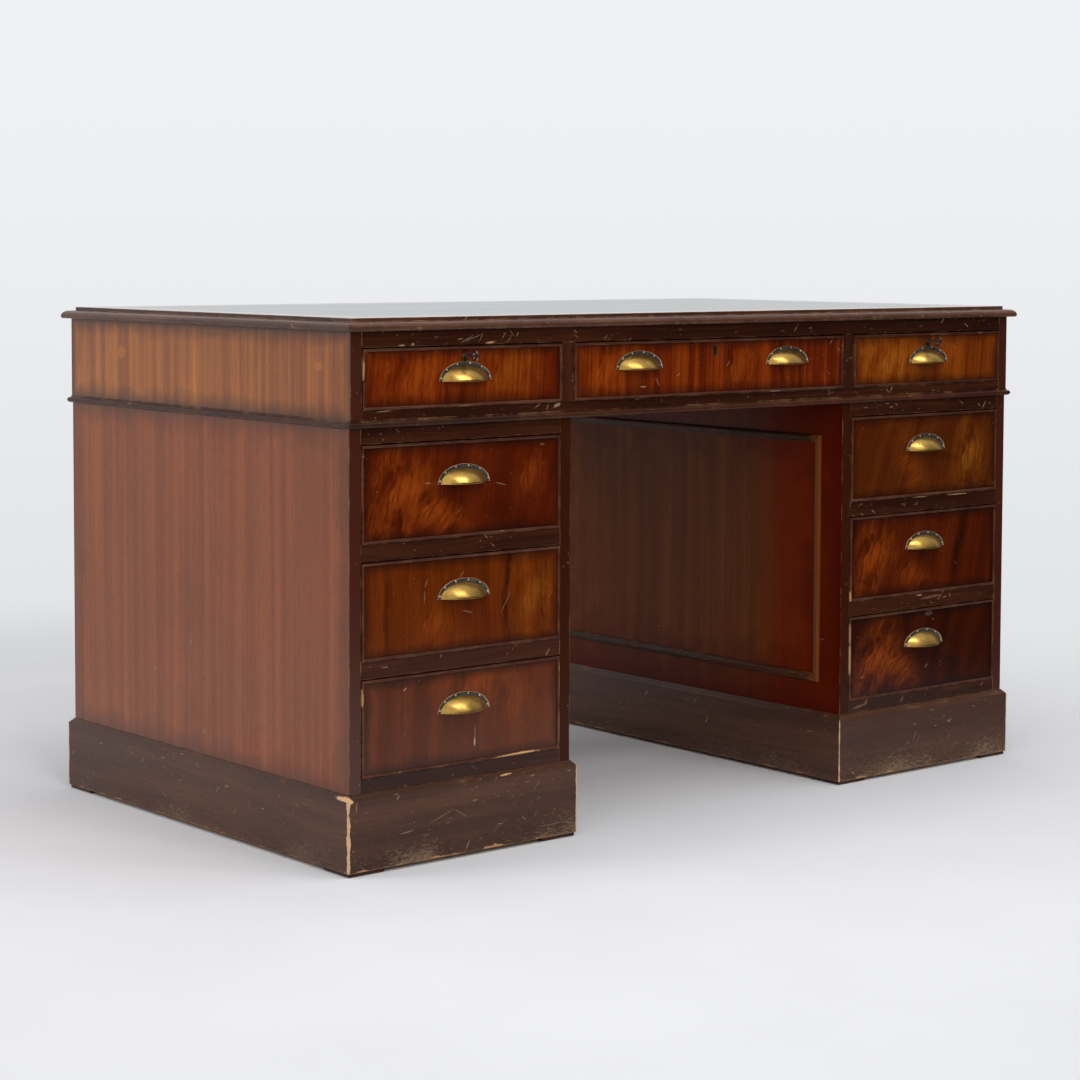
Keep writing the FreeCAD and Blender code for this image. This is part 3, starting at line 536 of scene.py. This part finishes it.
def cup_pull(shape, mouth):
    """Hollow cup with a rounded lip, on a flat flange with a raised rim and nail heads."""
    turns = [math.pi * i / ROUND for i in range(ROUND + 1)]
    lifts = [j / BOWL_STEPS for j in range(BOWL_STEPS + 1)]
    sheets = []
    for wall in (0.0, BOWL_WALL):
        size = (BOWL_HALF - wall, BOWL_OUT - wall, BOWL_RISE - wall)
        sheets.append([[mouth + bowl_point(turn, lift, *size) * MM for turn in turns] for lift in lifts])
    outer, inner = sheets
    lip = []
    for k in range(1, LIP_STEPS):
        a = math.pi * k / LIP_STEPS
        drop = Vector((0, 0, -BOWL_WALL / 2 * MM * math.sin(a)))
        lip.append([(o + i) / 2 + (o - i) / 2 * math.cos(a) + drop for o, i in zip(outer[0], inner[0])])
    patch(shape, outer[::-1] + lip + inner, CAST)
    steps = [math.pi * i / (2 * ROUND) for i in range(2 * ROUND + 1)]

    def oval(half, high, out):
        return [mouth + Vector((-half * math.cos(a), -out, high * math.sin(a))) * MM for a in steps]

    rim = [oval(FLANGE_HALF - inset, FLANGE_HIGH - inset, out) for inset, out in RIM_PROFILE]
    hole = oval(BOWL_HALF - FLANGE_LAP, BOWL_RISE - FLANGE_LAP, FLANGE_THICK * 0.6)
    patch(shape, rim, RIM)
    patch(shape, [rim[-1], hole], RECESS)
    for angle in NAIL_ANGLES:
        a = math.radians(angle)
        aside = (FLANGE_HALF - NAIL_INSET) * math.cos(a)
        up = (FLANGE_HIGH - NAIL_INSET) * math.sin(a)
        nail_head(shape, mouth + Vector((aside, -FLANGE_THICK, up)) * MM)
    bmesh.ops.remove_doubles(shape, verts=shape.verts, dist=1e-6)


def pull_places():
    """Each pull's node, body and the middle of its mouths."""
    for name in frame["bodies"]:
        if not name.endswith("_drawer"):
            continue
        double = name.startswith("centre")
        node = name + ("_pulls" if double else "_pull")
        low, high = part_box(node)
        inset = FLANGE_HALF * MM
        middles = (low.x + inset, high.x - inset) if double else ((low.x + high.x) / 2,)
        yield node, name, [Vector((x, high.y, low.z)) for x in middles]


# Materials on the desk

def use(material, *names):
    for name in names:
        slots = nodes[name].data.materials
        slots.clear()
        slots.append(material)


# Deep, middle and light tone of each wood
FRAME_TONES = ("#240D04", "#36170A", "#4E2612")
LIPPING_TONES = ("#341C13", "#4B2D20", "#654231")
SIDE_TONES = ("#632A0E", "#834016", "#A05426")
KNEEHOLE_TONES = ("#4C2000", "#6C3404", "#884A0C")
FRIEZE_END_TONES = ("#6A3410", "#94521E", "#B86E2C")
PLINTH_TONES = ("#341A0E", "#4A2A19", "#643D27")
PANEL_TONES = ("#2A1408", "#40220E", "#5A341A")
BEAD_TONES = ("#301208", "#482012", "#60321E")
SIDE_STILE = "#421A0E"
KNEEHOLE_STILE = "#361808"

# Boards with a stained border, as axes of the plane, middle and half sizes in mm
PEDESTAL_SIDE = ((1, 2), (0, 361.0), (371.0, 252.0))
FRIEZE_END = ((1, 2), (0, 682.0), (374.0, 60.5))
TOP_HALF = (688, 386)
PLINTH_CENTRE = 480.0
PLINTH_HALF = (204.0, 379.0)
PLINTH_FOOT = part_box("plinth_boards")[0].z / MM
PANEL_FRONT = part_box("panel_mouldings")[0].y / MM

# Chips and patches: place across and up, length, width, turn and tone
BARE = "#B98D5E"
PALE = "#8E7460"
DULL = "#6A4A34"
FAINT = "#7A6250"
TAN_RUB = "#C08A58"
BROWN_RUB = "#9A6A44"
END_PATCHES = ((224, 695, 34, 22, 0, "#A25A20"), (-299, 694, 26, 15, 0, "#A6621E"))
RAIL_CHIPS = (
    (-434, 723, 20, 3, 4, BARE), (-590, 722, 14, 3, 0, PALE), (-571, 723, 7, 5, 0, PALE),
    (-480, 727, 22, 1.2, 24, PALE), (-472, 729, 18, 1.0, 40, PALE), (-462, 731, 22, 1.2, 18, PALE),
    (-452, 730, 16, 1.0, 62, PALE), (-410, 733, 12, 1.2, 50, PALE), (-396, 735, 14, 1.0, -50, PALE),
    (-386, 733, 9, 1.4, 65, PALE), (-313, 630, 15, 6, 20, PALE), (-330, 628, 9, 1.6, 70, PALE),
    (-348, 631, 16, 1.2, 30, PALE), (-620, 633, 30, 1.4, 2, PALE), (560, 450, 60, 1.6, 0, BARE),
    (470, 451, 40, 1.4, 0, BARE), (470, 289, 14, 2.2, 0, BARE), (500, 284, 60, 5, 4, DULL),
    (520, 282, 14, 1.2, 40, PALE), (545, 283, 9, 1.6, -60, PALE), (330, 121, 36, 5, 8, DULL),
)
PLINTH_CHIPS = (
    (-524, 64, 45, 0.9, 19, PALE), (-489, 63, 33, 0.8, -31, PALE), (-585, 50, 25, 1.4, 6, PALE),
    (-407, 107, 26, 2.6, 2, "#C99C6A"), (-681, 107, 16, 9, -20, BARE_CORNER), (-478, 16, 18, 2.0, 60, PALE),
    (-420, 36, 42, 0.8, 30, FAINT), (-317, 24, 72, 0.8, 0, FAINT), (-600, 100, 8, 2, 60, PALE),
    (-670, 96, 18, 1.6, 86, PALE), (-360, 100, 9, 2.0, 10, PALE), (540, 75, 12, 2.6, 30, PALE),
    (505, 70, 7, 2, 10, PALE), (455, 60, 24, 1.2, 58, PALE), (462, 52, 20, 1.0, 62, PALE),
    (600, 92, 9, 1.4, 0, PALE),
)
BEAD_CHIPS = (
    (-384, 133, 92, 5, 1.5, "#D2A06A"), (-656, 243, 4, 26, 0, TAN_RUB), (-304.5, 251, 4, 18, 0, TAN_RUB),
    (-305, 225, 2.5, 40, 0, BROWN_RUB), (-305, 165, 2.5, 50, 0, BROWN_RUB), (-656, 540, 3, 80, 0, "#7A4022"),
    (-656, 690, 4, 30, 0, "#B08A60"), (304.5, 200, 3, 60, 0, "#B88A60"), (304.5, 240, 2.6, 40, 0, "#A87A54"),
    (304.5, 300, 3, 20, 0, TAN_RUB), (-480, 636, 30, 2, 1, "#8A6A54"), (128, 636, 26, 2, 0, "#A08A80"),
)

# Polished veneers: warm red-brown ribbons with a darker border, behind nearly black front edges
outer_sides = mahogany(
    "mahogany veneer on pedestal sides", "Z", SIDE_TONES, ribbon_mm=17, contrast=0.75, gloss=0.24, film=0.45,
    face="X", scratched=0.4, worn=0.78, rub_mm=1.3, border=(*PEDESTAL_SIDE, 70, 0.5, BLACK_STAIN),
    dark_front=SIDE_STILE, sway=6, run=800)
inner_sides = mahogany(
    "mahogany veneer on kneehole sides", "Z", KNEEHOLE_TONES, ribbon_mm=26, contrast=0.8, gloss=0.24,
    film=0.1, face="X", scratched=0.5, worn=0.75, rub_mm=1.3, border=(*PEDESTAL_SIDE, 240, 0.9, RED_STAIN),
    dark_front=KNEEHOLE_STILE, fade=(-165.0, -245.0, "#741C00", 0.75), sway=10, run=600)
frieze_ends = mahogany(
    "ribbon mahogany on frieze ends", "Z", FRIEZE_END_TONES, ribbon_mm=14, contrast=0.95, gloss=0.26,
    film=0.45, face="X", scratched=0.25, worn=0.7, border=(*FRIEZE_END, 48, 0.7, BLACK_STAIN),
    dark_front=SIDE_STILE, chips=END_PATCHES, chip_face="X", sway=5, run=400)
back_panels = mahogany(
    "mahogany veneer on the back", "Z", SIDE_TONES, ribbon_mm=20, contrast=0.9, gloss=0.3, film=0.3, sway=8,
    run=700)
top_border = mahogany(
    "top border veneer", "X", SIDE_TONES, ribbon_mm=24, gloss=0.08, film=0.5, face="Z", turn_by=TOP_HALF)
use(outer_sides, "pedestal_outer_sides")
use(inner_sides, "pedestal_inner_sides")
use(frieze_ends, "frieze_ends")
use(back_panels, "back_panels")
use(top_border, "top_board")

# Solid mahogany of the frame: stained nearly black, with pale scratches and tan edges where it is rubbed
rails = mahogany(
    "dark mahogany rails", "X", FRAME_TONES, ribbon_mm=16, gloss=0.26, film=0.25, scratched=3.0, worn=0.8,
    rub_mm=1.2, chips=RAIL_CHIPS)
dividers = mahogany(
    "dark mahogany dividers", "Z", FRAME_TONES, ribbon_mm=16, gloss=0.26, film=0.25, scratched=2.4,
    worn=0.8, rub_mm=1.2)
plinths = mahogany(
    "plinth mahogany", "X", PLINTH_TONES, ribbon_mm=30, contrast=0.9, gloss=0.34, film=0.35, scratched=2.0,
    worn=0.42, turn_by="face", kicked=(PLINTH_FOOT, 72), corners=(PLINTH_CENTRE, *PLINTH_HALF, 7.0),
    chips=PLINTH_CHIPS)
waist = mahogany(
    "waist moulding mahogany", "X", FRAME_TONES, ribbon_mm=16, gloss=0.30, film=0.25, scratched=1.6,
    worn=0.76, rub_mm=1.2, turn_by="face")
lipping = mahogany(
    "top lipping mahogany", "X", LIPPING_TONES, ribbon_mm=16, gloss=0.26, film=0.34, scratched=1.8,
    worn=0.78, turn_by=TOP_HALF)
# On the panel mouldings the front 12 mm blend into a lighter warm tone: painted highlight on their raised
# face.
panels = mahogany(
    "panel moulding mahogany", "Y", PANEL_TONES, ribbon_mm=14, gloss=0.3, film=0.15, face="X", worn=0.6,
    rub_mm=1.0, fade=(PANEL_FRONT + 24.0, PANEL_FRONT + 12.0, "#7C3E14", 0.85))
beads = mahogany(
    "worn bead mahogany", "X", BEAD_TONES, ribbon_mm=14, gloss=0.3, scratched=1.0, worn=0.82, rub_mm=1.0,
    chips=BEAD_CHIPS)
use(rails, "frieze_rails", "pedestal_rails")
use(dividers, "frieze_dividers", "plinth_glides")
use(plinths, "plinth_boards")
use(waist, "waist_moulding")
use(lipping, "top_edge_moulding")
use(panels, "panel_mouldings")

# Drawer fronts, orange flames on deep red-brown. Flames: place, width, height, turn, colour, strength.
# Scars: place, length, width, turn and tone. Places go from -1 to 1 over the front, sizes are in mm.
ORANGE = "#A2480C"
GOLD = "#A55E14"
BLACK = "#160702"
FRONTS = {
    "left_frieze_drawer": dict(
        tones=("#3E0F00", "#661D00", "#8A3A06"), lean=4, ribbon_mm=10, contrast=1.0,
        flames=[(-0.5, 0, 110, 70, 6, ORANGE, 0.6), (0.4, 0, 90, 60, 0, GOLD, 0.35)]),
    "centre_frieze_drawer": dict(
        tones=("#400F00", "#661F00", "#8C3A06"), lean=0, ribbon_mm=12, contrast=1.15,
        flames=[(-0.78, 0, 60, 60, 12, ORANGE, 0.6), (0.18, 0, 70, 80, 0, ORANGE, 0.5)],
        scars=[(-0.52, -0.62, 12, 1.6, 0, "#B0A090"), (-0.42, -0.45, 16, 1.1, -55, PALE),
               (-0.27, -0.25, 10, 1.2, 30, PALE), (0.1, 0.1, 12, 1.0, 50, PALE),
               (0.56, -0.5, 8, 1.6, 0, "#8A5A40")]),
    "right_frieze_drawer": dict(
        tones=("#4E1A00", "#6E2C02", "#8E480A"), lean=6, ribbon_mm=18, contrast=1.0,
        flames=[(-0.5, 0, 110, 60, 8, GOLD, 0.75), (0.3, 0.2, 40, 40, 25, ORANGE, 0.5)]),
    "left_pedestal_top_drawer": dict(
        tones=("#360B02", "#521600", "#6C2604"), lean=8, ribbon_mm=30, contrast=0.9,
        flames=[(-0.62, 0, 70, 120, 14, ORANGE, 0.7), (-0.3, -0.45, 90, 44, 38, ORANGE, 0.65),
                (0.68, 0.2, 40, 50, 0, ORANGE, 0.4), (-0.62, -0.7, 6, 40, -8, BLACK, 0.8),
                (0.4, -0.5, 90, 40, 60, BLACK, 0.4)],
        scars=[(-0.357, 0.156, 11, 1.4, 0, PALE), (0.38, 0.04, 22, 1.0, -14, PALE)]),
    "left_pedestal_middle_drawer": dict(
        tones=("#401400", "#602400", "#783606"), lean=0, ribbon_mm=24, contrast=0.8,
        flames=[(0.72, 0, 60, 80, 0, GOLD, 0.4), (0.44, 0.2, 7, 110, 3, BLACK, 0.95),
                (-0.75, 0, 7, 80, 0, BLACK, 0.5), (-0.3, -0.4, 40, 40, 20, ORANGE, 0.4)],
        scars=[(0.435, -0.09, 34, 0.9, 58, PALE), (-0.37, 0.48, 13, 1.2, 68, PALE),
               (-0.387, 0.2, 17, 0.9, 86, PALE), (0.04, -0.2, 20, 1.3, -14, PALE)]),
    "left_pedestal_bottom_drawer": dict(
        tones=("#451C08", "#5C2A10", "#70381A"), lean=0, ribbon_mm=26, contrast=0.8,
        flames=[(0.1, 0.6, 90, 40, 0, ORANGE, 0.5), (0.55, 0.2, 60, 70, 0, ORANGE, 0.25)],
        scars=[(0.117, -0.58, 3, 14, 0, "#B09A84"), (0.12, -0.38, 1.2, 20, 0, PALE),
               (-0.58, 0.72, 8, 3, 40, PALE)]),
    "right_pedestal_top_drawer": dict(
        tones=("#341200", "#522002", "#6A3206"), lean=20, ribbon_mm=28, contrast=0.9,
        flames=[(0.62, -0.1, 50, 80, 4, GOLD, 0.6), (-0.2, -0.2, 90, 40, 60, ORANGE, 0.3),
                (0.3, -0.1, 60, 8, 10, BLACK, 0.5)]),
    "right_pedestal_middle_drawer": dict(
        tones=("#300B02", "#4A1400", "#602204"), lean=12, ribbon_mm=26, contrast=1.0,
        flames=[(-0.7, 0, 56, 120, 18, ORANGE, 0.75), (-0.2, -0.5, 80, 40, 30, ORANGE, 0.4),
                (0.5, 0.2, 14, 110, 14, BLACK, 0.9)]),
    "right_pedestal_bottom_drawer": dict(
        tones=("#260A04", "#380E00", "#4A1802"), lean=20, ribbon_mm=26, contrast=1.0,
        flames=[(-0.65, -0.1, 60, 100, 30, ORANGE, 0.7), (-0.35, -0.3, 80, 50, 50, ORANGE, 0.5),
                (0.4, -0.5, 120, 40, 75, BLACK, 0.7)],
        scars=[(0.05, -0.42, 10, 2.4, 40, FAINT), (0.08, 0.86, 22, 9, 0, "#4A3A36")]),
}
for drawer, figure in FRONTS.items():
    front = drawer + "_front"
    use(figured_front("figured mahogany " + drawer.replace("_", " "), front, **figure), front)
    use(beads, drawer + "_beads")

# Plain dry timber inside, waxed green hide on top, and metal from rubbed brass, paled for painted highlight
# on nail heads and rims, to rusty steel
lining = raw_lining("unpolished drawer lining", "Y")
use(lining, *[name for name in nodes if name.endswith("_box")], "pedestal_boards", "drawer_runners")
use(desk_leather("green desk leather"), "leather_inset")
brass = aged_brass("aged brass", "#DCB05C", "#B28A44", 0.28)
# Paler copy of the brass for the nail heads: painted highlight, on metal that handling also rubs bright
bright = aged_brass("rubbed brass nail heads", "#FAEBC8", "#E6D2A0", 0.36)
patina = dark_patina("blackened brass recess")
# Paler copy of the brass for the raised rims: painted highlight, on metal that handling also rubs bright
rubbed = aged_brass("rubbed brass rims", "#E6C498", "#C09A6A", 0.34)
dull = aged_brass("dull lock brass", "#B09A68", "#6E5A36", 0.36)
use(dull, *[name for name in nodes if name.endswith(("_lock", "_lock_bolt"))])
use(key_steel("old key steel"), "left_frieze_key", "right_frieze_key")

for node, body, mouths in pull_places():
    def build(shape):
        for mouth in mouths:
            cup_pull(shape, mouth)

    pull = mesh_object(node + "_cast", build)
    for material in (brass, patina, bright, rubbed):
        pull.data.materials.append(material)
    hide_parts(node)
    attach(pull, body)


# Floor and backdrop, in metres

FLOOR_REACH = 3.4
FLOOR_MIDDLE = (-0.6, 0.1, 0.0)
FADE_START = 1.15
FADE_END = 2.5
UP = (0.0, 0.0, 1.0)
FRONT_WAY = (0.45, -0.75, -0.35)
FILL = (0.55, 0.55, 0.55, 1.0)
WHITE = (1.0, 1.0, 1.0, 1.0)


def studio_floor(shape):
    bmesh.ops.create_circle(shape, cap_ends=True, segments=96, radius=FLOOR_REACH)


# Matt pale floor that shows the desk's shadow and fades into the backdrop
floor = mesh_object("floor", studio_floor)
paper, tree = new_material("matt studio floor")
place = add(tree, "TexCoord", out="Object")
reach = vector(tree, "DISTANCE", place, FLOOR_MIDDLE, out="Value")
clear = ramp(tree, reach, FADE_START, FADE_END, interpolation_type="SMOOTHSTEP")
tone = mix(tree, noise(tree, place, 333.333, 5.0), tint("#DCDCDE"), tint("#E6E6E8"))
matt = add(tree, "BsdfDiffuse", {"Color": tone})
gone = add(tree, "BsdfTransparent")
surface = add(tree, "MixShader", {0: clear, 1: matt, 2: gone})
add(tree, "OutputMaterial", {"Surface": surface})
floor.data.materials.append(paper)

# Near-white surroundings, dimmer for light and dark towards the front for reflections
world = bpy.context.scene.world or bpy.data.worlds.new("studio")
bpy.context.scene.world = world
world.use_nodes = True
tree = world.node_tree
tree.nodes.clear()
way = add(tree, "TexCoord", out="Generated")
up = vector(tree, "DOT_PRODUCT", way, UP, out="Value")
rise = ramp(tree, up, -0.25, 0.1, interpolation_type="SMOOTHSTEP")
backdrop = mix(tree, rise, tint("#DFE0E2"), tint("#EFF1F4"))
front = vector(tree, "DOT_PRODUCT", way, FRONT_WAY, out="Value")
dim = ramp(tree, front, 0.05, 0.6, 0.9, 0.03)
rays = add(tree, "LightPath").node.outputs
glossy = calc(tree, "MAXIMUM", rays["Is Glossy Ray"], rays["Is Transmission Ray"])
level = mix(tree, glossy, FILL, dim)
strength = mix(tree, rays["Is Camera Ray"], level, WHITE)
glow = add(tree, "Background", {"Color": backdrop, "Strength": strength})
add(tree, "OutputWorld", {"Surface": glow})


# Lamps, all aimed at the middle of the desk

AIM = Vector((0.0, 0.0, 0.4))


def softbox(name, place, wide, tall, watts, mirrored):
    lamp = bpy.data.lights.new(name, "AREA")
    lamp.shape = "RECTANGLE"
    lamp.size = wide
    lamp.size_y = tall
    lamp.energy = watts
    made = bpy.data.objects.new(name, lamp)
    made.location = place
    made.rotation_euler = (AIM - Vector(place)).to_track_quat("-Z", "Y").to_euler()
    made.visible_glossy = mirrored
    bpy.context.scene.collection.objects.link(made)


softbox("ceiling softbox", (0.0, -0.5, 3.0), 2.6, 2.0, 40, False)
softbox("front softbox", (-1.6, -3.6, 2.2), 1.2, 1.6, 32, False)
softbox("first window light", (-0.24, -2.12, 3.0), 0.34, 0.34, 8, True)
softbox("second window light", (0.62, -1.98, 3.0), 0.34, 0.34, 8, True)
softbox("left softbox", (-3.4, 1.2, 2.0), 1.4, 1.6, 35, False)


# Camera from the fit to the photograph

EYE = (-2.6816, -3.1742, 0.8589)
YAW = math.radians(39.82)
PITCH = math.radians(-3.60)
ROLL = math.radians(0.21)
ahead = Vector((math.sin(YAW) * math.cos(PITCH), math.cos(YAW) * math.cos(PITCH), math.sin(PITCH)))
level_right = Vector((math.cos(YAW), -math.sin(YAW), 0.0))
level_up = level_right.cross(ahead)
right = math.cos(ROLL) * level_right + math.sin(ROLL) * level_up
upward = -math.sin(ROLL) * level_right + math.cos(ROLL) * level_up
lens = bpy.data.cameras.new("camera")
lens.lens = 85.36
lens.sensor_width = 36.0
lens.shift_x = 0.0014
lens.shift_y = -0.1236
camera = bpy.data.objects.new("camera", lens)
turned = Matrix((right, upward, -ahead)).transposed().to_4x4()
camera.matrix_world = Matrix.Translation(EYE) @ turned
bpy.context.scene.collection.objects.link(camera)
bpy.context.scene.camera = camera
bpy.context.scene.view_settings.view_transform = "Standard"

bpy.context.view_layer.update()
